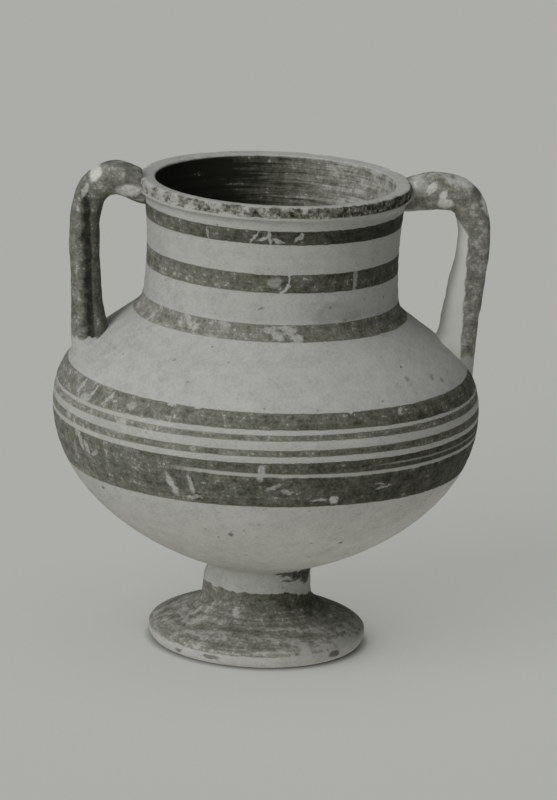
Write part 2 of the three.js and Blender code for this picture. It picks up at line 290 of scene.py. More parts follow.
foot_hollow = stroke((0, HOLLOW_CROWN), (15.0, HOLLOW_CROWN), (25.0, 6.5), HOLLOW_EDGE, 18)
foot_ring = stroke(HOLLOW_EDGE, (29.4, 0.0), (30.2, 0.0), (31.0, 0.0), 4)
foot_shell = turned(foot_roll[1:] + foot_slope[1:])
foot = throw("jar_foot", foot_hollow + foot_ring[1:] + foot_edge + foot_shell + [(0, foot_top)])

stem_side = turned(stem_flare + stem_rise[1:])
stem = throw("jar_stem", [(0, foot_top)] + stem_side + [COIL_BED, COIL_CORNER, (0, bowl_base)])

bowl_bed = (bowl_open[0][0] - BED_DEPTH, bowl_open[0][1] + 0.8)
stem_coil_side = turned(stem_fillet)
stem_coil = throw("jar_stem_coil", stem_coil_side + [bowl_bed, COIL_CORNER, COIL_BED, stem_coil_side[0]])
for piece in (foot, stem, stem_coil):
    print(piece.name, len(piece.data.vertices), "points")

# %% [markdown]
# ## Bowl and shoulder
# The body is two thrown halves, joined at the belly where the painter's thickest bands hide the seam. A
# Solidify modifier could give them their wall, but a drawn inner face lets the wall thicken to the floor and
# thin to the neck, as a thrown one does. It is five or six millimetres thick at the belly.

# %% Bowl and shoulder
BODY_WALL = 5.5
BOWL_FLOOR = 37.8
NECK_WALL = 4.6
SEAT_DEPTH = 2.0

inner_belly = (body_radius - BODY_WALL, belly_level)
bowl_inside = stroke(inner_belly, (inner_belly[0], 64.0), (46.0, 39.6), (0, BOWL_FLOOR), 36)
bowl = throw("jar_bowl", [(0, bowl_base), COIL_CORNER, bowl_bed] + turned(bowl_open) + bowl_inside)

inner_throat = (NECK_START_RADIUS - NECK_WALL, neck_base)
shoulder_inside = stroke(inner_throat, (61.5, 105.5), (inner_belly[0], 100.5), inner_belly, 28)
coil_seat = (shoulder_open[-1][0] - SEAT_DEPTH, shoulder_open[-1][1] - 0.6)
coil_heel = (NECK_START_RADIUS - BED_DEPTH, neck_base)
shoulder_side = turned(shoulder_open)
shoulder = throw("jar_shoulder", shoulder_side + [coil_seat, coil_heel] + shoulder_inside + shoulder_side[:1])
print("bowl", len(bowl.data.vertices), "points, shoulder", len(shoulder.data.vertices), "points")

# %% [markdown]
# ## Neck and its coil
# The neck is a waisted collar. The coil at its foot was smeared up the neck and out over the shoulder, so
# its edges run out to nothing and only its hollow curve shows. The two are thrown with a shared joint line, so
# that they close without a gap. Inside, fingers left deeper marks than the rib did outside.

# %% Neck and coil
FINGER_MARK = 2.4 * TURNING_MARK

neck_toe = (neck_open[0][0] - BED_DEPTH, neck_open[0][1] - 1.4)
neck_coil_side = turned(neck_fillet)
neck_coil = throw("jar_neck_coil", neck_coil_side + [neck_toe, coil_heel, coil_seat] + neck_coil_side[:1])

throat_top = (throat_radius - NECK_WALL, neck_top)
throat_inside = stroke(throat_top, (39.6, 149.5), (39.8, 135.5), inner_throat, 40)
neck_side = turned(neck_open) + turned(throat_inside, FINGER_MARK)
neck = throw("jar_neck", [neck_toe] + neck_side + [coil_heel, neck_toe])
print("neck", len(neck.data.vertices), "points, its coil", len(neck_coil.data.vertices), "points")

# %% [markdown]
# ## Rim
# The lip was folded out and trued with a tool: an upright edge with a shallow groove, a nearly flat top that
# dips towards the mouth, and rounded corners. Its section has more steps round the axis than the others, so
# that chips of two millimetres have points to move.

# %% Rim
LIP_STEPS = 384
LIP_FOOT = 164.9
GROOVE = 0.28
LIP_CREST = (47.0, lip_level)
MOUTH_EDGE = (43.4, lip_level - 0.35)
MOUTH_TOP = (42.3, lip_level - 1.7)

lip_under = stroke(
    (throat_radius, neck_top), (throat_radius + 0.2, 163.6), (47.2, 164.3), (lip_radius - 0.1, LIP_FOOT), 8
)
# Up the lip's edge: how far in from its radius, and how far above its foot.
edge_steps = ((0, 0.5), (0, 1.0), (GROOVE, 1.6), (GROOVE, 2.0), (0, 2.6), (0, 3.2))
lip_edge = [(lip_radius - inset, LIP_FOOT + rise) for inset, rise in edge_steps]
lip_corner = stroke(
    (lip_radius, lip_level - 1.2), (lip_radius, lip_level - 0.4), (lip_radius - 0.5, lip_level), LIP_CREST, 6
)
lip_top = stroke(LIP_CREST, (45.8, lip_level), (44.4, lip_level - 0.3), MOUTH_EDGE, 8)
mouth_corner = stroke(MOUTH_EDGE, (42.7, lip_level - 0.4), (42.4, lip_level - 0.9), MOUTH_TOP, 6)
mouth_wall = stroke(MOUTH_TOP, (42.2, 165.8), (throat_top[0] + 0.2, 164.0), throat_top, 8)
lip_outside = lip_under + lip_edge + lip_corner
lip_inside = lip_top[1:] + mouth_corner[1:] + mouth_wall[1:]
rim = throw("jar_rim", lip_outside + lip_inside + lip_under[:1], steps=LIP_STEPS)
print("rim", len(rim.data.vertices), "points, lip radius", round(lip_radius, 2))

# %% [markdown]
# ## Chips
# Use has chipped the lip's outer corner. Chips could be cut with Booleans, but clay this worn has none of the
# sharp edges those leave. They are pressed in with proportional editing: one point is pulled towards the clay
# and its neighbours follow. Each is given by its bearing, in degrees to the right of the front, and its size.

# %% Chips on the lip
CHIP_PULL = (5, 3)
CHIP_INSET = 0.3


def around_jar(bearing, radius, height):
    turn = math.radians(bearing)
    return Vector(((axis_x + radius * math.sin(turn)) * MM, -radius * math.cos(turn) * MM, height * MM))


def chip(piece, bearing, radius, height, size, depth):
    target = around_jar(bearing, radius, height)
    nearest = min(piece.data.vertices, key=lambda v: (v.co - target).length).index
    behind = around_jar(bearing, radius - CHIP_PULL[0], height - CHIP_PULL[1])
    inward = (behind - target).normalized() * depth * MM
    bpy.ops.object.select_all(action="DESELECT")
    piece.select_set(True)
    bpy.context.view_layer.objects.active = piece
    bpy.ops.object.mode_set(mode="EDIT")
    bpy.ops.mesh.select_all(action="DESELECT")
    bpy.ops.object.mode_set(mode="OBJECT")
    piece.data.vertices[nearest].select = True
    bpy.ops.object.mode_set(mode="EDIT")
    bpy.ops.transform.translate(
        value=inward,
        use_proportional_edit=True,
        proportional_edit_falloff="SPHERE",
        proportional_size=size * MM,
    )
    bpy.ops.object.mode_set(mode="OBJECT")


# Each chip: its bearing, its size and its depth.
lip_chips = (
    (-38, 2.6, 0.7),
    (-16, 2.0, 0.5),
    (4, 3.0, 0.8),
    (21, 1.8, 0.5),
    (33, 2.6, 0.8),
    (52, 2.0, 0.6),
    (118, 3.2, 0.4),
    (163, 2.2, 0.3),
    (-104, 2.4, 0.5),
    (-150, 3.0, 0.3),
)
for bearing, size, depth in lip_chips:
    chip(rim, bearing, lip_radius - CHIP_INSET, lip_level - CHIP_INSET, size, depth)
print("chips on the lip:", len(lip_chips))

# %% [markdown]
# The same move with a negative depth draws clay outwards: on the left the stem was smeared down to the foot.

# %% Smear on the stem
chip(stem, -84, 19.0, 21.0, size=5.5, depth=-1.3)
stem_reach = max(v.co.xy.length for v in stem.data.vertices) / MM
print("stem reaches", round(stem_reach, 2), "mm from the frame's middle")

# %% [markdown]
# ## Handles
# Each handle is a strap pulled from a lump of wet clay, thumbed to the rim and bent down to the shoulder. A
# curve with a rounded section draws it in one go: the radius at each point of the curve sets how it swells
# towards its ends. The strap's ends are cut away inside the wall by a core that follows the jar's outside,
# and the strap is then divided where the smeared clay at either end starts.

# %% The core that trims the handles
CORE_DEPTH = 2.4
CORE_STEPS = 96
CORE_TOP = 190.0
LIP_CORE_DEPTH = 0.8
CORE_STEP_LEVEL = LIP_FOOT + 0.4

core_wall = [(r - CORE_DEPTH, z) for r, z in shoulder_open + neck_fillet[1:] + neck_open[1:]]
core_lip = [
    (core_wall[-1][0], CORE_STEP_LEVEL),
    (lip_radius - LIP_CORE_DEPTH, CORE_STEP_LEVEL),
    (lip_radius - LIP_CORE_DEPTH, CORE_TOP),
]
core = throw("handle_core", [(0, belly_level)] + core_wall + core_lip + [(0, CORE_TOP)], steps=CORE_STEPS)
print("core:", len(core.data.polygons), "faces")

# %% [markdown]
# ## Pulling a strap
# The section is a circle whose four handles are lengthened, so that it is squarer than an ellipse, as a strap
# stroked between thumb and fingers is. It is swept along a curve through the course's points and made a mesh.

# %% Section of a strap
SQUARENESS = 0.74
SECTION_SMOOTH = 9


def strap_section(width, thickness):
    bpy.ops.object.select_all(action="DESELECT")
    bpy.ops.curve.primitive_bezier_circle_add(radius=1)
    section = bpy.context.active_object
    for point in section.data.splines[0].bezier_points:
        point.handle_left_type = point.handle_right_type = "FREE"
        for handle in (point.handle_left, point.handle_right):
            handle.xy = point.co.xy + (handle.xy - point.co.xy).normalized() * SQUARENESS
    section.data.resolution_u = SECTION_SMOOTH
    section.scale = (width / 2 * MM, thickness / 2 * MM, 1)
    bpy.ops.object.transform_apply(location=False, rotation=False, scale=True)
    return section


print("a strap's section has", 4 * SECTION_SMOOTH, "sides")

# %% Pull a strap along its course
STRAP_SMOOTH = 18


def pull_strap(name, azimuth, section, course):
    bpy.ops.object.select_all(action="DESELECT")
    bpy.ops.curve.primitive_bezier_curve_add()
    strap = bpy.context.active_object
    strap.name = name
    spline = strap.data.splines[0]
    spline.bezier_points.add(len(course) - 2)
    turn = Matrix.Rotation(math.radians(azimuth), 3, "Z")
    for point, (radius, height, swell) in zip(spline.bezier_points, course):
        point.co = turn @ Vector((radius, 0, height)) * MM + Vector((axis_x * MM, 0, 0))
        point.handle_left_type = point.handle_right_type = "AUTO"
        point.radius = swell
    spline.radius_interpolation = "CARDINAL"
    strap.data.resolution_u = STRAP_SMOOTH
    strap.data.twist_mode = "MINIMUM"
    strap.data.bevel_mode = "OBJECT"
    strap.data.bevel_object = section
    strap.data.use_fill_caps = True
    bpy.ops.object.convert(target="MESH")
    strap = bpy.context.active_object
    bpy.data.objects.remove(section)
    bpy.ops.object.mode_set(mode="EDIT")
    bpy.ops.mesh.select_all(action="SELECT")
    bpy.ops.mesh.remove_doubles(threshold=WELD)
    bpy.ops.mesh.normals_make_consistent(inside=False)
    bpy.ops.object.mode_set(mode="OBJECT")
    return strap


print("a strap has", STRAP_SMOOTH, "steps between two points of its course")

# %% [markdown]
# Straps weren't smoothed on the wheel, so a cloud texture roughens their skin by a third of a millimetre. The
# core is then taken away with a Boolean, and bisecting divides the strap into its handle and two ends.

# %% Roughen, trim and divide a strap
STRAP_ROUGH = 0.0007
STRAP_GRIT = 0.006

strap_rough = bpy.data.textures.new("strap_rough", type="CLOUDS")
strap_rough.noise_scale = STRAP_GRIT
strap_rough.noise_depth = 2


def roughen_and_trim(strap):
    rough = strap.modifiers.new("rough", "DISPLACE")
    rough.texture = strap_rough
    rough.texture_coords = "LOCAL"
    rough.mid_level = 0.5
    rough.strength = STRAP_ROUGH
    bpy.ops.object.modifier_apply(modifier=rough.name)
    trim = strap.modifiers.new("trim", "BOOLEAN")
    trim.operation = "DIFFERENCE"
    trim.solver = "EXACT"
    trim.object = core
    bpy.ops.object.modifier_apply(modifier=trim.name)


def part_of(strap, name, cuts):
    bpy.ops.object.select_all(action="DESELECT")
    strap.select_set(True)
    bpy.context.view_layer.objects.active = strap
    bpy.ops.object.duplicate()
    part = bpy.context.active_object
    part.name = part.data.name = name
    bpy.ops.object.mode_set(mode="EDIT")
    for place, normal in cuts:
        bpy.ops.mesh.select_all(action="SELECT")
        bpy.ops.mesh.bisect(plane_co=place, plane_no=normal, use_fill=True, clear_inner=True)
    bpy.ops.object.mode_set(mode="OBJECT")
    return part


print("strap skin is rough by", round(STRAP_ROUGH / MM / 2, 2), "mm")

# %% [markdown]
# ## Both handles
# The two handles differ as hand work does: the left strap is thinner and stands closer, and the right one is
# thicker and reaches further out. Both swell where they were thumbed to the shoulder.

# %% Handles with their smeared ends
# Each course is the middle of the strap: distance from the wheel axis, height, and swelling.
HANDLE_WIDTH = 14.0
UPPER_JOINT_RADIUS = 51.5
UPPER_END_LEVEL = 140.0
handle_shapes = {
    "left": {
        "azimuth": 184,
        "thickness": 10.7,
        "lower_joint": 114.0,
        "course": (
            (43.0, 164.4, 0.95),
            (47.0, 165.0, 0.98),
            (51.5, 167.2, 1.05),
            (57.0, 168.4, 1.08),
            (63.4, 164.8, 1.02),
            (66.5, 156.0, 1.0),
            (66.9, 146.0, 1.0),
            (65.9, 132.0, 1.0),
            (64.8, 120.0, 1.1),
            (63.8, 113.0, 1.28),
            (62.0, 105.0, 1.5),
            (61.4, 99.0, 1.6),
        ),
    },
    "right": {
        "azimuth": 8,
        "thickness": 12.6,
        "lower_joint": 112.0,
        "course": (
            (43.0, 164.2, 0.86),
            (47.5, 164.4, 0.9),
            (52.5, 165.4, 1.0),
            (59.5, 166.1, 1.02),
            (67.6, 163.3, 0.96),
            (71.6, 155.0, 0.9),
            (72.0, 146.0, 0.9),
            (69.9, 130.0, 1.0),
            (68.6, 120.0, 1.03),
            (67.9, 113.0, 1.1),
            (66.2, 106.0, 1.28),
            (65.4, 98.0, 1.34),
        ),
    },
}
up = Vector((0, 0, 1))
handles = {}
for side, shape in handle_shapes.items():
    section = strap_section(HANDLE_WIDTH, shape["thickness"])
    strap = pull_strap(side + "_strap", shape["azimuth"], section, shape["course"])
    roughen_and_trim(strap)
    outward = Matrix.Rotation(math.radians(shape["azimuth"]), 3, "Z") @ Vector((1, 0, 0))
    upper = outward * UPPER_JOINT_RADIUS * MM + Vector((axis_x * MM, 0, 0))
    lower = up * shape["lower_joint"] * MM
    floor = up * UPPER_END_LEVEL * MM
    handles[side] = part_of(strap, side + "_strap_handle", ((upper, outward), (lower, up)))
    handles[side + "_upper"] = part_of(strap, side + "_strap_upper_end", ((upper, -outward), (floor, up)))
    handles[side + "_lower"] = part_of(strap, side + "_strap_lower_end", ((lower, -up),))
    bpy.data.objects.remove(strap)
    print(side, "handle", [len(handles[key].data.polygons) for key in handles if key.startswith(side)])
bpy.data.objects.remove(core)

# %% [markdown]
# ## One body
# Fired clay doesn't move, so all pieces ride on one body. The gentle wobble of the hand goes through all of
# them at once, thrown and pulled, so that it doesn't open a joint.

# %% Every piece rides on the jar's one body
thrown = {
    "foot": (foot, "dark_slip"),
    "stem": (stem, "pale_clay"),
    "stem_luting_coil": (stem_coil, "pale_clay"),
    "bowl": (bowl, "pale_clay"),
    "shoulder": (shoulder, "pale_clay"),
    "neck_luting_coil": (neck_coil, "pale_clay"),
    "neck": (neck, "pale_clay"),
    "rim": (rim, "dark_slip"),
}
strapped = {}
for side in ("left", "right"):
    strapped[side + "_handle"] = (handles[side], "dark_slip")
    strapped[side + "_handle_upper_luting"] = (handles[side + "_upper"], "dark_slip")
    strapped[side + "_handle_lower_luting"] = (handles[side + "_lower"], "pale_clay")
for node, (piece, slot) in {**thrown, **strapped}.items():
    give_wobble(piece)
    finish_piece(piece, node)

# %% [markdown]
# ## Earthenware and slip
# The jar is low-fired earthenware: a pale, matt, fine-grained clay with smudges, specks and pits. The bands
# are slip, a thin wash of dark clay put on with a brush as the jar turned, so they follow the wheel, vary
# with the brush's load, and have rubbed and flaked with use. They could be painted as a picture, but patterns
# made of nodes have real sizes and stay sharp. All of them read Object coordinates, which run through all
# pieces, so the bands cross the joints unbroken.

# %% Colours and nodes
def linear(hex_colour):
    channels = [int(hex_colour[i : i + 2], 16) / 255 for i in (0, 2, 4)]
    return tuple(c / 12.92 if c <= 0.04045 else ((c + 0.055) / 1.055) ** 2.4 for c in channels) + (1.0,)


# Links are given by socket, or as a list in the order of the node's sockets. For a Map Range that is the value,
# the two ends of its range, and what it becomes at each end, which is 0 and 1 where nothing is said.
def add(tree, kind, links=(), out=0, stops=(), **settings):
    node = tree.nodes.new("ShaderNode" + kind)
    for name, value in settings.items():
        setattr(node, name, value)
    by_socket = links if isinstance(links, dict) else dict(enumerate(links))
    for socket, value in by_socket.items():
        if isinstance(value, bpy.types.NodeSocket):
            tree.links.new(value, node.inputs[socket])
        else:
            node.inputs[socket].default_value = value
    if stops:
        ramp = node.color_ramp.elements
        ramp[0].position, ramp[1].position = stops[0][0], stops[-1][0]
        for position, _ in stops[1:-1]:
            ramp.new(position)
        for stop, (position, colour) in zip(ramp, stops):
            stop.color = colour
    return node.outputs[out] if node.outputs else node


def new_finish(name):
    material = bpy.data.materials.new(name)
    material.use_nodes = True
    material.node_tree.nodes.clear()
    return material, material.node_tree


print("the mid grey 808080 is", round(linear("808080")[0], 3), "in linear light")

# %% [markdown]
# ## Where a point is on the jar
# Four measures place a mark: the height, the distance from the wheel axis, the way round from the front, and
# the side, from -1 at the left to 1 at the right. Three clouds of noise stand for what time does at three
# sizes: smudges as broad as a thumb, rubbing a few millimetres across, and grains of sand. Two stretched
# ones stand for the hairs of the brush, which run round the jar, and for scuffs, which run across it.

# %% Measures on the jar, in millimetres
BRUSH_HAIR = 0.9
BRUSH_SWEEP = 22.0
SCUFF_WIDE = 0.7
SCUFF_LONG = 5.0
SCUFF_TURN = (0.5, 0.3, 0.9)
# Each noise: its size, how many finer layers it has, and how rough those make it.
NOISES = {
    "smudge": (17.0, 4.0, 0.5),
    "rub": (4.2, 6.0, 0.66),
    "grain": (1.1, 4.0, 0.7),
    "hairs": (BRUSH_HAIR, 3.0, 0.6),
    "scuff": (SCUFF_WIDE, 2.0, 0.5),
}


def measures(tree):
    where = add(tree, "TexCoord", out="Object")
    to_mm = (1 / MM, 1 / MM, 1 / MM)
    place = add(tree, "Mapping", {"Vector": where, "Location": (-axis_x, 0, 0), "Scale": to_mm})
    split = add(tree, "SeparateXYZ", (place,)).node.outputs
    flat = add(tree, "VectorMath", (place, (1, 1, 0)), operation="MULTIPLY")
    radius = add(tree, "VectorMath", (flat,), out="Value", operation="LENGTH")
    front = add(tree, "Math", (split["Y"], -1.0), operation="MULTIPLY")
    sweep = (BRUSH_HAIR / BRUSH_SWEEP, BRUSH_HAIR / BRUSH_SWEEP, 1)
    scuffed = {"Vector": place, "Rotation": SCUFF_TURN, "Scale": (1, SCUFF_WIDE / SCUFF_LONG, 1)}
    stretched = {
        "hairs": add(tree, "VectorMath", (place, sweep), operation="MULTIPLY"),
        "scuff": add(tree, "Mapping", scuffed),
    }
    m = {
        "place": place,
        "height": split["Z"],
        "radius": radius,
        "around": add(tree, "Math", (split["X"], front), operation="ARCTAN2"),
        "side": add(tree, "Math", (split["X"], radius), operation="DIVIDE"),
    }
    for name, (size, layers, rough) in NOISES.items():
        cloud = {"Vector": stretched.get(name, place), "Scale": 1 / size, "Detail": layers, "Roughness": rough}
        m[name] = add(tree, "TexNoise", cloud)
    return m


print("noises in millimetres:", {name: noise[0] for name, noise in NOISES.items()})

# %% [markdown]
# Many patterns below are mixtures: a share of one measure, a share of the next, and a plain amount to start
# from. A mixture of height and a noise frays a level edge.

# %% Mixtures of measures
def mixture(tree, m, shares, start):
    for measure, share in shares.items():
        start = add(tree, "Math", (m[measure], share, start), operation="MULTIPLY_ADD")
    return start


print("mixtures draw on the measures of place and on", len(NOISES), "noises")

# %% [markdown]
# ## Pale clay
# Clay tone comes from rubbing, smudges, grain and scuffs through a ramp, from a greyish cream to the paler tone
# where the surface is clean. Pits are the middles of Voronoi cells 4.5 mm apart, and one cell in three has one.

# %% Pale clay
CLAY_MIX = ({"rub": 0.4, "smudge": 0.2, "grain": 0.28, "scuff": 0.3}, -0.09)
CLAY_TONES = (
    (0.28, linear("8C8C87")),
    (0.41, linear("A2A29E")),
    (0.52, linear("ADADA9")),
    (0.66, linear("B6B6B2")),
)
CLAY_SPECK = linear("55554B")
SPECK_SPACING = 4.5
SPECK_PICK = 0.66
SPECK_TINT = 0.5
PIT_REACH = (0.05, 0.13)


def pale_clay(tree, m):
    clay = add(tree, "ValToRGB", {"Fac": mixture(tree, m, *CLAY_MIX)}, stops=CLAY_TONES)
    cells = add(tree, "TexVoronoi", {"Vector": m["place"], "Scale": 1 / SPECK_SPACING}).node.outputs
    pit = add(tree, "MapRange", (cells["Distance"], *PIT_REACH, 1.0, 0.0))
    lot = add(tree, "SeparateXYZ", (cells["Color"],))
    pick = add(tree, "Math", (lot, SPECK_PICK), operation="GREATER_THAN")
    pit = add(tree, "Math", (pit, pick), operation="MULTIPLY")
    tint = add(tree, "Math", (pit, SPECK_TINT), operation="MULTIPLY")
    return add(tree, "Mix", {0: tint, 6: clay, 7: CLAY_SPECK}, out=2, data_type="RGBA"), pit


print("clay tones:", len(CLAY_TONES), "pits every", SPECK_SPACING, "mm or so")

# %% [markdown]
# ## Dark slip
# Slip goes from nearly black where the brush was full to a thin grey wash where hands have rubbed it. How
# far it has gone at a point, from 0 to 1, is given by the finish that asks, and the three noises and the
# hairs of the brush vary it.

# %% Dark slip
SLIP_MIX = ({"rub": 1.2, "grain": 1.0, "hairs": 0.4}, -1.3)
UNEVEN_START = 0.5
UNEVEN_GROWTH = 0.9
SLIP_TONES = (
    (0.02, linear("1D1E16")),
    (0.25, linear("424337")),
    (0.50, linear("626358")),
    (0.75, linear("7B7C72")),
    (1.00, linear("929289")),
)


def dark_slip(tree, m, worn):
    noise = mixture(tree, m, *SLIP_MIX)
    uneven = add(tree, "Math", (worn, UNEVEN_GROWTH, UNEVEN_START), operation="MULTIPLY_ADD")
    tone = add(tree, "Math", (noise, uneven, worn), operation="MULTIPLY_ADD")
    return add(tree, "ValToRGB", {"Fac": tone}, stops=SLIP_TONES)


print("slip tones:", len(SLIP_TONES))

# %% [markdown]
# ## Flakes, and the surface itself
# Where the slip is worn it also comes off in flakes: rubbing and grain together pass a threshold that drops
# as the wear grows. The surface is rough and matt, with the slip a little smoother than the clay; its
# relief is the grain of the sand and the pits.

# %% Flakes
FLAKE_MIX = ({"grain": 0.45, "hairs": 0.2, "rub": 0.35}, 0.0)
FLECK_WEAR = 0.08
PATCH_WEAR = 0.5
# Where a fleck or a patch begins and ends to open, and how bare it gets.
FLECK_OPENS = (0.61, 0.65, 0.0, 0.8)
PATCH_OPENS = (0.95, 1.03, 0.0, 0.7)


def flakes(tree, m, worn):
    torn = mixture(tree, m, *FLAKE_MIX)
    torn = add(tree, "Math", (worn, FLECK_WEAR, torn), operation="MULTIPLY_ADD")
    fleck = add(tree, "MapRange", (torn, *FLECK_OPENS))
    patch = add(tree, "Math", (worn, PATCH_WEAR, m["rub"]), operation="MULTIPLY_ADD")
    patch = add(tree, "MapRange", (patch, *PATCH_OPENS))
    return add(tree, "Math", (fleck, patch), operation="MAXIMUM")


print("a fleck opens from", FLECK_OPENS[0], "to", FLECK_OPENS[1])

# %% The matt surface
MATT_CLAY = 0.9
MATT_SLIP = 0.74
RELIEF_DEPTH = 0.14
RELIEF_STRENGTH = 0.9
GRAIN_RELIEF = 0.6
PIT_RELIEF = -1.2


def matt_surface(tree, m, clay, pit, slip, cover):
    colour = add(tree, "Mix", {0: cover, 6: clay, 7: slip}, out=2, data_type="RGBA")
    relief = mixture(tree, m, {"grain": GRAIN_RELIEF}, 0.0)
    relief = add(tree, "Math", (pit, PIT_RELIEF, relief), operation="MULTIPLY_ADD")
    bump = add(tree, "Bump", {"Strength": RELIEF_STRENGTH, "Distance": RELIEF_DEPTH * MM, "Height": relief})
    rough = add(tree, "MapRange", (cover, 0.0, 1.0, MATT_CLAY, MATT_SLIP))
    shader = add(
        tree,
        "BsdfPrincipled",
        {"Base Color": colour, "Roughness": rough, "IOR": 1.45, "Specular IOR Level": 0.3, "Normal": bump},
    )
    add(tree, "OutputMaterial", {"Surface": shader})


print("roughness of clay", MATT_CLAY, "and of slip", MATT_SLIP)

# %% [markdown]
# ## Marks on the jar
# Scrapes, flakes and stains are small ovals on a flat map of the surface: the way across, a height, half a
# width and half a height in millimetres, a lean in degrees, and how strong the mark is. On the thrown wall,
# which is unrolled, the way across is written as a bearing in degrees to the right of the front. The map is
# shaken by a little noise, so that each oval gets a torn outline.

# %% Ovals on a flat map
SHAKE_SIZE = 2.0
SHAKE = 2.8
OVAL_EDGE = 1.1
OVAL_FADE = 0.4
# How bare an oval is between and on the grains.
CRUMBS = (0.38, 0.54, 0.75, 1.0)


def torn_map(tree, m, across):
    flat = add(tree, "CombineXYZ", (across, m["height"]))
    cloud = {"Vector": m["place"], "Scale": 1 / SHAKE_SIZE, "Detail": 5.0, "Roughness": 0.65}
    noise = add(tree, "TexNoise", cloud, out="Color")
    push = add(tree, "VectorMath", (noise, (0.5, 0.5, 0.5)), operation="SUBTRACT")
    return add(tree, "VectorMath", (push, (SHAKE, SHAKE, 0), flat), operation="MULTIPLY_ADD")


def ovals(tree, m, torn, marks):
    total = 0.0
    for across, height, half_wide, half_high, lean, strength in marks:
        shape = {
            "Vector": torn,
            "Location": (across, height, 0),
            "Rotation": (0, 0, math.radians(lean)),
            "Scale": (half_wide, half_high, 1),
        }
        oval = add(tree, "Mapping", shape, vector_type="TEXTURE")
        reach = add(tree, "VectorMath", (oval,), out="Value", operation="LENGTH")
        fade = strength / OVAL_FADE
        inside = add(tree, "Math", (reach, -fade, fade * OVAL_EDGE), operation="MULTIPLY_ADD")
        inside = add(tree, "Math", (inside, strength), operation="MINIMUM")
        total = add(tree, "Math", (inside, total), operation="MAXIMUM")
    crumbs = add(tree, "MapRange", (m["grain"], *CRUMBS))
    return add(tree, "Math", (total, crumbs), operation="MULTIPLY")


print("outlines are torn by up to", SHAKE / 2, "mm")

# %% [markdown]
# ## Slip-banded earthenware
# The thrown pieces carry the bands. A colour ramp over the height holds them all: pairs of stops rise and
# fall at each band's edges. The brush was held against the turning jar, so the edges run nearly level, and
# noise makes them drift by less than a millimetre. Slip is thin on the left and full on the right, outside.
# Inside the neck it is painted darker on the left, as painted shade, and paler on the right, as painted light.

# %% Bands
RAMP_TOP = 180.0
BRUSH_EDGE = 0.8
CRISP = 0.06
# Each band: its lower and upper edge, and how much more or less than its neighbours it has been rubbed.
bands = (
    (69.7, 86.4, -0.13),
    (88.6, 90.9, 0.05),
    (94.0, 96.0, 0.14),
    (97.6, 102.8, 0.0),
    (122.1, 127.6, 0.15),
    (138.7, 145.2, -0.08),
    (155.9, 160.8, -0.23),
)
print(len(bands), "bands, the broadest", round(bands[0][1] - bands[0][0], 1), "mm wide")

# %% Marks of the thrown pieces
slip_losses = (
    # The broad band on the bowl.
    (-24.8, 75.0, 1.2, 5.2, 33, 0.9),
    (-19.3, 76.2, 1.0, 4.2, 20, 0.75),
    (-18.6, 71.4, 3.2, 0.8, 8, 0.7),
    (-0.5, 82.6, 1.4, 3.2, -4, 0.85),
    (3.0, 77.6, 3.4, 0.8, 24, 0.6),
    (6.4, 75.8, 2.0, 1.1, -20, 0.65),
    (19.8, 72.3, 1.6, 1.7, 0, 1.0),
    (15.4, 72.6, 3.0, 0.6, 6, 0.8),
    (34.0, 75.7, 3.6, 0.5, 12, 0.65),
    (32.6, 77.2, 2.4, 0.4, -8, 0.55),
    (-58.0, 82.2, 1.3, 4.2, 30, 0.9),
    (-55.0, 80.6, 1.0, 3.4, 38, 0.8),
    (-51.5, 79.4, 2.2, 0.8, 30, 0.7),
    (-60.0, 84.6, 1.4, 2.0, 0, 0.7),
    # The lines and the band on the shoulder.
    (-62.0, 100.3, 4.0, 0.8, 38, 0.9),
    (-55.0, 100.0, 3.4, 0.6, 42, 0.9),
    (-48.0, 100.0, 4.0, 0.7, 36, 0.9),
    (-58.0, 96.8, 5.0, 1.6, 20, 0.8),
    (-39.0, 99.5, 2.6, 1.2, 25, 0.7),
    (-27.0, 102.6, 1.5, 0.9, 20, 1.0),
    (-19.0, 102.8, 1.0, 0.7, 0, 1.0),
    (24.0, 102.9, 1.3, 0.6, 0, 1.0),
    (40.0, 101.6, 1.3, 0.8, 20, 0.8),
    # The neck's middle band, its upper one and its lower one.
    (7.9, 146.0, 0.55, 5.0, 2, 1.0),
    (7.3, 140.8, 0.6, 1.7, -24, 1.0),
    (5.6, 139.3, 1.7, 0.55, 24, 1.0),
    (1.5, 142.5, 2.8, 2.2, 20, 0.55),
    (40.6, 142.0, 1.0, 7.0, 2, 0.6),
    (-8.0, 158.6, 0.5, 3.4, -35, 0.9),
    (-4.0, 158.0, 3.0, 0.6, 20, 0.85),
    (-1.5, 158.4, 0.6, 3.0, 10, 0.85),
    (2.5, 157.2, 2.6, 0.7, -15, 0.8),
    (10.6, 158.2, 1.8, 0.7, 30, 0.75),
    (12.6, 159.2, 0.7, 1.5, -24, 0.75),
    (-30.0, 158.0, 0.4, 2.6, 10, 0.7),
    (0.0, 125.8, 2.8, 1.3, 15, 0.8),
    (3.5, 124.0, 2.6, 1.5, -20, 0.9),
    (6.0, 126.6, 2.4, 0.9, 8, 0.9),
    (9.0, 125.4, 2.8, 1.2, 14, 0.85),
    (11.5, 123.4, 2.8, 1.4, -15, 0.9),
    (-20.0, 126.4, 2.4, 1.6, 0, 0.6),
    (-38.0, 126.0, 1.3, 3.2, 30, 0.8),
    # The foot.
    (-20.7, 15.1, 1.6, 1.5, 0, 1.0),
    (-61.9, 12.3, 4.5, 0.5, 24, 1.0),
    (-50.0, 10.8, 5.5, 0.5, 14, 0.9),
    (-30.0, 9.6, 6.5, 0.4, 4, 0.8),
    (28.0, 11.0, 6.5, 0.4, -6, 0.8),
    (45.0, 10.0, 4.5, 0.6, -12, 0.8),
)
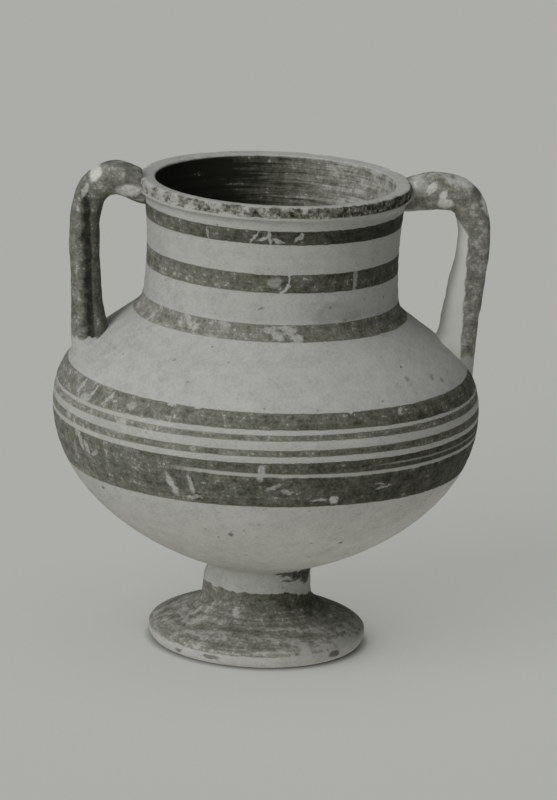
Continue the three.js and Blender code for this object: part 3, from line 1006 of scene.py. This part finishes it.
clay_stains = (
    # A dark ring on the right of the stem, just under the bowl, and the foot's edge.
    (24.0, 29.4, 3.0, 0.6, 0, 0.9),
    (36.0, 28.8, 4.5, 1.0, 4, 0.95),
    (52.0, 28.0, 5.0, 1.9, 6, 1.0),
    (66.0, 26.6, 4.5, 3.2, 10, 1.0),
    (42.0, 26.2, 6.0, 0.5, 0, 0.85),
    (-24.3, 3.0, 3.4, 1.2, 0, 0.7),
    (-45.4, 2.4, 2.0, 0.8, 0, 0.7),
    (46.5, 3.4, 3.0, 1.4, 0, 0.8),
    # The bowl, the neck and the shoulder.
    (-9.3, 56.3, 1.0, 0.7, 0, 0.7),
    (-52.6, 65.6, 0.9, 0.7, 0, 0.7),
    (28.7, 51.9, 0.9, 0.6, 0, 0.7),
    (27.0, 131.0, 7.0, 4.0, 20, 0.2),
    (38.0, 129.8, 5.0, 4.0, 0, 0.2),
    (-4.0, 133.0, 1.2, 0.5, 10, 0.45),
    (50.0, 112.9, 0.7, 0.5, 0, 0.7),
    (49.0, 109.7, 1.5, 0.6, -30, 0.4),
    (60.0, 108.3, 1.6, 0.7, -35, 0.45),
    (64.0, 106.6, 1.5, 0.5, -20, 0.5),
)
print(len(slip_losses), "places where slip is lost,", len(clay_stains), "stains")

# %% [markdown]
# ## The painted bands
# The ramp's edges are soft, and a later step cuts them crisp, so that brush and noise can shift each edge. The
# fine lines between the two broad bands hang a little lower on the left.

# %% The painted bands
LINE_GROUP = (96.4, 98.4)
LINE_DROP = (-0.9, 0.4, 1.25, -0.35)
BRUSH_MIX = {"rub": 0.7, "grain": 0.5}
BRUSH_SPREAD = 0.2
BRUSH_CUT = 1.1


def brushed_bands(tree, m):
    drop = add(tree, "MapRange", (m["side"], *LINE_DROP))
    lines = add(tree, "MapRange", (m["height"], *LINE_GROUP, 1.0, 0.0))
    level = add(tree, "Math", (drop, lines, m["height"]), operation="MULTIPLY_ADD")
    share = add(tree, "Math", (level, RAMP_TOP), operation="DIVIDE")
    stops = [(0.0, (0, 0.5, 0, 1))]
    for low, high, rubbed in bands:
        bare, brushed = (0, 0.5 + rubbed, 0, 1), (1, 0.5 + rubbed, 0, 1)
        edges = (
            (low - BRUSH_EDGE, bare),
            (low + BRUSH_EDGE, brushed),
            (high - BRUSH_EDGE, brushed),
            (high + BRUSH_EDGE, bare),
        )
        stops.extend((height / RAMP_TOP, colour) for height, colour in edges)
    ramp = add(tree, "ValToRGB", {"Fac": share}, stops=stops)
    split = add(tree, "SeparateColor", (ramp,)).node.outputs
    spread = add(tree, "Math", (m["side"], m["side"]), operation="MULTIPLY")
    brush = add(tree, "Math", (spread, BRUSH_SPREAD, split["Red"]), operation="MULTIPLY_ADD")
    brush = mixture(tree, m, BRUSH_MIX, brush)
    painted = add(tree, "MapRange", (brush, BRUSH_CUT - CRISP, BRUSH_CUT + CRISP))
    return painted, split["Green"]


print("stops in the band ramp:", 1 + 4 * len(bands))

# %% [markdown]
# Slip was also brushed over the foot and up the stem's flare, along the lip's edge, and inside the neck. On the
# right the slip on the stem hangs lower.

# %% Slip on the foot, on the lip and inside the neck
PAINT_EDGE = 0.15
FOOT_PAINT = (4.6, 22.0)
FOOT_FRAY = 1.6
FOOT_LEAN = (0.55, 1.0)
FOOT_DROP = 3.4
STEM_FLARE = (12.0, 16.0)
FASCIA_PAINT = (165.7, 169.4)
FASCIA_FRAY = 0.8
FASCIA_RADII = (46.6, 47.2)
THROAT_RADII = (42.5, 42.8)
THROAT_LEVELS = (116.0, 120.0)


def strip(tree, level, low, high, soft):
    rise = add(tree, "MapRange", (level, low - soft, low + soft))
    fall = add(tree, "MapRange", (level, high - soft, high + soft, 1.0, 0.0))
    return add(tree, "Math", (rise, fall), operation="MULTIPLY")


def foot_slip(tree, m):
    smear = add(tree, "MapRange", (m["side"], *FOOT_LEAN, 0.0, FOOT_DROP))
    ragged = mixture(tree, m, {"rub": 2 * FOOT_FRAY, "height": 1.0}, -FOOT_FRAY)
    upper = add(tree, "MapRange", (m["height"], *STEM_FLARE))
    ragged = add(tree, "Math", (smear, upper, ragged), operation="MULTIPLY_ADD")
    return strip(tree, ragged, *FOOT_PAINT, PAINT_EDGE)


def lip_slip(tree, m):
    frayed = mixture(tree, m, {"rub": 2 * FASCIA_FRAY, "height": 1.0}, -FASCIA_FRAY)
    edge = strip(tree, frayed, *FASCIA_PAINT, PAINT_EDGE)
    wide = add(tree, "MapRange", (m["radius"], *FASCIA_RADII))
    return add(tree, "Math", (edge, wide), operation="MULTIPLY")


def throat_slip(tree, m):
    narrow = add(tree, "MapRange", (m["radius"], *THROAT_RADII, 1.0, 0.0))
    above = add(tree, "MapRange", (m["height"], *THROAT_LEVELS))
    return add(tree, "Math", (narrow, above), operation="MULTIPLY")


print("slip on the foot from", FOOT_PAINT[0], "to", FOOT_PAINT[1], "mm, on the lip from", FASCIA_PAINT[0], "mm")

# %% [markdown]
# ## The banded finish
# How worn the slip is changes across the jar: it is rubbed on the left and full on the right. The foot, where
# the jar was pushed about, the lip's edge and the inside of the neck each have a wear of their own. On the
# foot's right the slip is painted paler low down, as painted light, and darker just under the stem, as painted
# shade;
# inside the neck it is painted darker on the left, as painted shade, and paler on the right, as painted light.

# %% Where slip was brushed, and how worn it is
# Wear: from the left to the right side, and how worn it is at each.
OUTSIDE_WEAR = (-0.85, 0.7, 0.22, -0.16)
# Inside the neck the slip is painted darker on the left wall, as painted shade, and paler on the right wall, as
# painted light.
INSIDE_LIGHT_AND_SHADE = (-0.5, 0.55, -0.8, 0.25)
INSIDE_STREAKS = {"hairs": 1.3}
FOOT_WEAR = ({"hairs": 0.7, "side": -0.14}, 0.38)
FOOT_LIGHT_AND_SHADE = ({"height": -0.1}, 1.25)
EDGE_WEAR = ({"grain": 1.5, "rub": 2.2, "side": -0.42}, -1.2)
FOOT_TOP = (13.0, 17.0)
LIP_START = (lip_level - 8, lip_level - 6)

# Low-fired earthenware, thrown and wiped with a wet hand, with brushed slip: to the eye it is chalky and dull,
# the slip a shade smoother, and neither has a clear highlight.
banded, tree = new_finish("slip_banded_earthenware")
m = measures(tree)
painted, rubbed = brushed_bands(tree, m)
on_foot, on_lip, inside = foot_slip(tree, m), lip_slip(tree, m), throat_slip(tree, m)
for extra in (on_foot, on_lip, inside):
    painted = add(tree, "Math", (painted, extra), operation="MAXIMUM")

worn_outside = add(tree, "MapRange", (m["side"], *OUTSIDE_WEAR))
worn_outside = add(tree, "Math", (worn_outside, rubbed), operation="ADD")
low = add(tree, "MapRange", (m["height"], *FOOT_TOP, 1.0, 0.0))
foot_wear_light_and_shade = mixture(tree, m, *FOOT_WEAR)
# On the foot's right the slip is painted paler low down, as painted light, and darker just under the stem, as
# painted shade.
lee_side = add(tree, "Math", (m["side"], 0.0), operation="MAXIMUM")
foot_light_and_shade = mixture(tree, m, *FOOT_LIGHT_AND_SHADE)
foot_wear_light_and_shade = add(tree, "Math", (lee_side, foot_light_and_shade, foot_wear_light_and_shade), operation="MULTIPLY_ADD")
worn_outside = add(tree, "Mix", {0: low, 2: worn_outside, 3: foot_wear_light_and_shade})
high = add(tree, "MapRange", (m["height"], *LIP_START))
mottled = mixture(tree, m, *EDGE_WEAR)
worn_outside = add(tree, "Mix", {0: high, 2: worn_outside, 3: mottled})
# Painted shade on the left of the inside of the neck and painted light on its right, over the brush's streaks.
inside_streaks_light_and_shade = add(tree, "MapRange", (m["side"], *INSIDE_LIGHT_AND_SHADE))
inside_streaks_light_and_shade = mixture(tree, m, INSIDE_STREAKS, inside_streaks_light_and_shade)
worn = add(tree, "Mix", {0: inside, 2: worn_outside, 3: inside_streaks_light_and_shade})
clay, pit = pale_clay(tree, m)
slip = dark_slip(tree, m, worn)
print("nodes in the finish so far:", len(tree.nodes))

# %% [markdown]
# The marks are unrolled for the flat map: a bearing, times the wall's radius at that height, is the way across
# in millimetres. Two thin lines that the brush left bare in the broad band are lost slip as well.

# %% Slip that is lost
# Each thin line: its height, half its width, the bearings in radians between which it comes in, and how bare
# it is.
FINE_LINE = (81.8, 0.65, -0.46, -0.30, 0.85)
FAINT_LINE = (84.4, 0.3, 0.50, 0.66, 0.5)
LINE_END = (2.1, 2.6)
LINE_EDGE = 0.2
LINE_FRAY = 0.4


def wall_radius(height):
    for (r0, z0), (r1, z1) in zip(outer_wall, outer_wall[1:]):
        if z0 <= height <= z1 and z1 > z0:
            return r0 + (r1 - r0) * (height - z0) / (z1 - z0)
    return lip_radius


def unrolled(marks):
    return [(math.radians(bearing) * wall_radius(height), height, *shape) for bearing, height, *shape in marks]


arc = add(tree, "Math", (m["around"], m["radius"]), operation="MULTIPLY")
torn = torn_map(tree, m, arc)
outside = add(tree, "Math", (1.0, inside), operation="SUBTRACT")
scraped = add(tree, "Math", (ovals(tree, m, torn, unrolled(slip_losses)), outside), operation="MULTIPLY")
lost = add(tree, "Math", (flakes(tree, m, worn), scraped), operation="MAXIMUM")
drift = mixture(tree, m, {"rub": 2 * LINE_FRAY, "height": 1.0}, -LINE_FRAY)
for height, half, start, end, strength in (FINE_LINE, FAINT_LINE):
    line = strip(tree, drift, height - half, height + half, LINE_EDGE)
    begun = add(tree, "MapRange", (m["around"], start, end, 0.0, strength))
    line = add(tree, "Math", (line, begun), operation="MULTIPLY")
    ended = add(tree, "MapRange", (m["around"], *LINE_END, 1.0, 0.0))
    line = add(tree, "Math", (line, ended), operation="MULTIPLY")
    lost = add(tree, "Math", (lost, line), operation="MAXIMUM")
kept = add(tree, "Math", (1.0, lost), operation="SUBTRACT")
cover = add(tree, "Math", (painted, kept), operation="MULTIPLY")
print("nodes in the finish so far:", len(tree.nodes))

# %% Stains, and the finish on the thrown pieces
STAIN = linear("3A3A32")

stained = ovals(tree, m, torn, unrolled(clay_stains))
clay = add(tree, "Mix", {0: stained, 6: clay, 7: STAIN}, out=2, data_type="RGBA")
matt_surface(tree, m, clay, pit, slip, cover)

for piece, slot in thrown.values():
    piece.data.materials.clear()
    piece.data.materials.append(banded)
print("banded pieces:", len(thrown), "nodes in the finish:", len(tree.nodes))

# %% [markdown]
# ## Slip-brushed straps
# The handles were brushed along their length on the outside and the sides. The brush missed the inner face
# of the right strap and stopped short of the lower ends, and hands have rubbed the outer bends pale. The bare
# and rubbed clay is painted paler than the clay elsewhere, as painted light where the window falls on it. Each
# strap is told where its middle runs, so that slip can be set by the side of the strap that a point is on.

# %% Slip on the straps
# Middle: the line from which the way across is measured, as its distance from the axis at height 0 and how
# much that grows with each millimetre of height. Across: how worn the slip is from the inner side (negative)
# to the outer side. Bare side: how far across the inner face is bare, which the left strap's isn't. Bare
# painted light: how far the bare and rubbed clay is painted paler, as painted light where the window falls on
# it. Top: the level where the arch begins, and how worn its slip is. Brush end: the level where the brush
# stopped. Rubs: ovals seen from the front.
strap_paint = {
    "left": {
        "middle": (58.3, 0.059),
        "bare_side": -30.0,
        "bare_painted_light": 0.7,
        # The black stripe just inside the middle of the left strap is full slip and painted shade of a groove
        # that the strap's shape doesn't have.
        "across": ((-7.5, 0.5), (-2.2, 0.46), (-1.7, 0.1), (-0.2, 0.05), (1.6, 0.5), (3.0, 0.62), (7.5, 0.7)),
        "top_level": 163.5,
        "top_worn": 0.68,
        "brush_end": 111.8,
        "rubs": (
            (-51.6, 165.2, 5.2, 2.6, 6, 1.0),
            (-63.2, 170.6, 2.2, 3.2, -25, 1.0),
            (-66.6, 165.0, 1.0, 3.0, -20, 0.6),
        ),
    },
    "right": {
        "middle": (66.9, 0.0155),
        "bare_side": 0.0,
        "bare_painted_light": 0.95,
        "across": ((-7.5, 0.8), (0.0, 0.78), (3.0, 0.72), (7.5, 0.82)),
        "top_level": 170.0,
        "top_worn": 0.95,
        "brush_end": 107.4,
        "rubs": (
            (60.2, 162.8, 3.4, 2.2, 0, 1.0),
            (59.6, 165.8, 1.5, 2.4, -15, 1.0),
            (55.2, 168.2, 1.5, 2.8, -35, 0.9),
            (51.0, 168.4, 4.5, 3.6, 0, 0.45),
            (67.0, 170.4, 4.2, 2.2, -25, 0.8),
            (75.2, 161.5, 1.6, 5.0, 25, 1.0),
        ),
    },
}
print("rubbed places:", {side: len(facts["rubs"]) for side, facts in strap_paint.items()})

# %% Slip-brushed straps
HALF_STRAP = 8.0
SIDE_FRAY = 1.3
END_FRAY = 4.5
TOP_SOFT = 2.5
END_SOFT = 0.4
SIDE_SOFT = 0.3
# The bare inner face ends at a slanting line across the bend, and at the arch: a level, and how soft it is.
BEND_LEAN = 1.41
BEND_END = (249.0, 0.6)
ARCH_END = (160.0, 0.8)
# Bare and rubbed clay on the straps is painted in this paler tone, as painted light where the window falls on
# it.
PAINTED_LIGHT_CLAY = linear("D2D2CC")


def slip_brushed_strap(side, middle, bare_side, bare_painted_light, across, top_level, top_worn, brush_end, rubs):
    # The same earthenware and slip, pulled and not thrown: the slip is thin and mottled where hands held it.
    material, tree = new_finish("slip_brushed_earthenware_" + side)
    m = measures(tree)
    clay, pit = pale_clay(tree, m)
    from_middle = {"height": -middle[1], "radius": 1.0, "rub": 2 * SIDE_FRAY}
    shaken = mixture(tree, m, from_middle, -middle[0] - SIDE_FRAY)
    ragged = mixture(tree, m, {"rub": 2 * END_FRAY, "height": 1.0}, -END_FRAY)

    share = add(tree, "MapRange", (shaken, -HALF_STRAP, HALF_STRAP))
    stops = [((mm + HALF_STRAP) / (2 * HALF_STRAP), (wear, wear, wear, 1)) for mm, wear in across]
    worn_across = add(tree, "ValToRGB", {"Fac": share}, stops=stops)
    on_top = add(tree, "MapRange", (ragged, top_level - TOP_SOFT, top_level + TOP_SOFT))
    worn = add(tree, "Mix", {0: on_top, 2: worn_across, 3: top_worn})
    slip = dark_slip(tree, m, worn)

    painted = add(tree, "MapRange", (ragged, brush_end - END_SOFT, brush_end + END_SOFT))
    bare = add(tree, "MapRange", (shaken, bare_side - SIDE_SOFT, bare_side + SIDE_SOFT, 1.0, 0.0))
    bend = add(tree, "Math", (m["radius"], BEND_LEAN, m["height"]), operation="MULTIPLY_ADD")
    for level, (end, soft) in ((bend, BEND_END), (m["height"], ARCH_END)):
        below = add(tree, "MapRange", (level, end - soft, end + soft, 1.0, 0.0))
        bare = add(tree, "Math", (bare, below), operation="MULTIPLY")
    lost = add(tree, "Math", (bare, flakes(tree, m, worn)), operation="MAXIMUM")
    across_front = add(tree, "SeparateXYZ", (m["place"],))
    rubbed = ovals(tree, m, torn_map(tree, m, across_front), rubs)
    lost = add(tree, "Math", (lost, rubbed), operation="MAXIMUM")
    kept = add(tree, "Math", (1.0, lost), operation="SUBTRACT")
    cover = add(tree, "Math", (painted, kept), operation="MULTIPLY")
    # Painted light: bare and rubbed clay is painted paler than the clay elsewhere.
    bare_and_painted_light = add(tree, "Math", (bare, rubbed), operation="MAXIMUM")
    bare_and_painted_light = add(tree, "Math", (bare_and_painted_light, bare_painted_light), operation="MULTIPLY")
    clay = add(tree, "Mix", {0: bare_and_painted_light, 6: clay, 7: PAINTED_LIGHT_CLAY}, out=2, data_type="RGBA")
    matt_surface(tree, m, clay, pit, slip, cover)
    return material


for side, facts in strap_paint.items():
    strap_finish = slip_brushed_strap(side, **facts)
    for node, (piece, slot) in strapped.items():
        if node.startswith(side):
            piece.data.materials.clear()
            piece.data.materials.append(strap_finish)
    print(strap_finish.name, len(strap_finish.node_tree.nodes), "nodes")

# %% [markdown]
# ## Table
# A wide pale sheet runs under and behind the jar. Light that comes back from it fills the jar's underside,
# most of it glowing from a bright pool painted on the sheet close to the jar, as painted light. Light Path
# tells
# the rays apart: to the camera, and in gloss or glass, the sheet is a plain mid grey, darker in the jar's soft
# shadow and, as a painted contact shadow, where the foot stands on it, and to all other rays it is pale and
# lit.

# %% Table
SHEET_SIZE = 16.0
SHEET_PALE = linear("C4C4BE")
SHEET_GREY = linear("A8A9A4")
SHADOW_GREY = linear("E2E3DE")
SHADOW_SHARE = 0.2
POOL_GLOW = 0.82
POOL_MIDDLE = (0.13, -0.03, 0.0)
POOL_REACH = (0.05, 0.45)
CONTACT = 0.03
CREASE = 0.003
CORNER_RAYS = 12
# The painted contact shadow is laid by position on the side away from the window, and hardly shows on the
# other.
AWAY_FROM_WINDOW = (0.66, 0.75, 0.0)
LEE_EDGE = (-0.036, 0.005, 0.12, 1.0)

bpy.ops.object.select_all(action="DESELECT")
bpy.ops.mesh.primitive_plane_add(size=SHEET_SIZE)
sheet = bpy.context.active_object
sheet.name = "paper_sheet"
# Matt paper: to the eye it is an even pale grey with no gloss, so the jar's shadow is all that shows on it.
paper, tree = new_finish("matt_paper")
rays = add(tree, "LightPath").node.outputs
seen = add(tree, "Math", (rays["Is Camera Ray"], rays["Is Glossy Ray"]), operation="MAXIMUM")
seen = add(tree, "Math", (seen, rays["Is Transmission Ray"]), operation="MAXIMUM")
where = add(tree, "TexCoord", out="Object")
# Painted light: the sheet glows in a pool close to the jar, for all rays but the camera's.
spot = add(tree, "VectorMath", (where, POOL_MIDDLE), out="Value", operation="DISTANCE")
pool = add(tree, "MapRange", (spot, *POOL_REACH, POOL_GLOW, 0.0))
pale = add(tree, "BsdfDiffuse", {"Color": SHEET_PALE})
glow = add(tree, "Emission", {"Color": SHEET_PALE, "Strength": pool})
lit = add(tree, "AddShader", (pale, glow))
# Painted contact shadow: occlusion darkens the sheet's camera grey where the foot stands on it, more on the
# side away from the window.
corner = add(tree, "AmbientOcclusion", {"Color": SHEET_GREY, "Distance": CONTACT}, samples=CORNER_RAYS)
painted_shadow_side = add(tree, "VectorMath", (where, AWAY_FROM_WINDOW), out="Value", operation="DOT_PRODUCT")
painted_shadow_side = add(tree, "MapRange", (painted_shadow_side, *LEE_EDGE))
painted_contact_shadow = add(tree, "Mix", {0: painted_shadow_side, 6: SHEET_GREY, 7: corner}, out=2, data_type="RGBA")
painted_crease_shadow = add(tree, "AmbientOcclusion", {"Color": painted_contact_shadow, "Distance": CREASE}, samples=CORNER_RAYS)
plain = add(tree, "Emission", {"Color": painted_crease_shadow, "Strength": 1.0})
shadowed = add(tree, "BsdfDiffuse", {"Color": SHADOW_GREY})
shown = add(tree, "MixShader", (SHADOW_SHARE, plain, shadowed))
add(tree, "OutputMaterial", {"Surface": add(tree, "MixShader", (seen, lit, shown))})
sheet.data.materials.append(paper)
print("sheet", SHEET_SIZE, "m across")

# %% [markdown]
# ## Light
# One large soft window stands low on the left, and a paler skylight fills from straight above, at a level
# where a colour renders about as it is written. Suns with a wide angle give such light, the same all over.

# %% Light
# Each light: bearing to the right of the front, height above the table, strength, and how wide it looks.
studio_lights = {
    "window": (-41, 30, 2.1, 48),
    "skylight": (0, 85, 0.94, 60),
}
ROOM_LIGHT = 0.012

for name, (bearing, height, strength, wide) in studio_lights.items():
    bpy.ops.object.light_add(type="SUN")
    light = bpy.context.active_object
    light.name = name
    light.data.energy = strength
    light.data.angle = math.radians(wide)
    turn, lift = math.radians(bearing), math.radians(height)
    from_light = Vector((math.sin(turn) * math.cos(lift), -math.cos(turn) * math.cos(lift), math.sin(lift)))
    light.rotation_mode = "QUATERNION"
    light.rotation_quaternion = from_light.to_track_quat("Z", "Y")

room = bpy.data.worlds.new("dim_room")
bpy.context.scene.world = room
room.use_nodes = True
room.node_tree.nodes.clear()
dim = add(room.node_tree, "Background", {"Color": linear("FFFFFA"), "Strength": ROOM_LIGHT})
add(room.node_tree, "OutputWorld", {"Surface": dim})
print("lights:", list(studio_lights), "and a room at", ROOM_LIGHT)

# %% [markdown]
# ## Camera
# A long lens looks down at the jar from a little above, from the front. Its place and turn were fitted to the
# rim, the bands and the foot, with a picture of 557 by 800.

# %% Camera
CAMERA_PLACE = (axis_x, -1592.65, 507.34)
CAMERA_PITCH = math.radians(14.72)
CAMERA_YAW = math.radians(-0.158)
CAMERA_ROLL = math.radians(2.5)
FOCAL_PIXELS = 4606.9
PICTURE_HEIGHT = 800
SENSOR = 36.0

bpy.ops.object.camera_add()
camera = bpy.context.active_object
look = Matrix.Rotation(CAMERA_YAW, 4, "Z") @ Matrix.Rotation(math.pi / 2 - CAMERA_PITCH, 4, "X")
look = look @ Matrix.Rotation(CAMERA_ROLL, 4, "Z")
camera.matrix_world = Matrix.Translation(Vector(CAMERA_PLACE) * MM) @ look
camera.data.sensor_width = SENSOR
camera.data.lens = FOCAL_PIXELS * SENSOR / PICTURE_HEIGHT
camera.data.clip_end = 100.0
bpy.context.scene.camera = camera
bpy.context.scene.view_settings.view_transform = "Standard"
print("lens", round(camera.data.lens, 1), "mm, down by", round(math.degrees(CAMERA_PITCH), 1), "degrees")
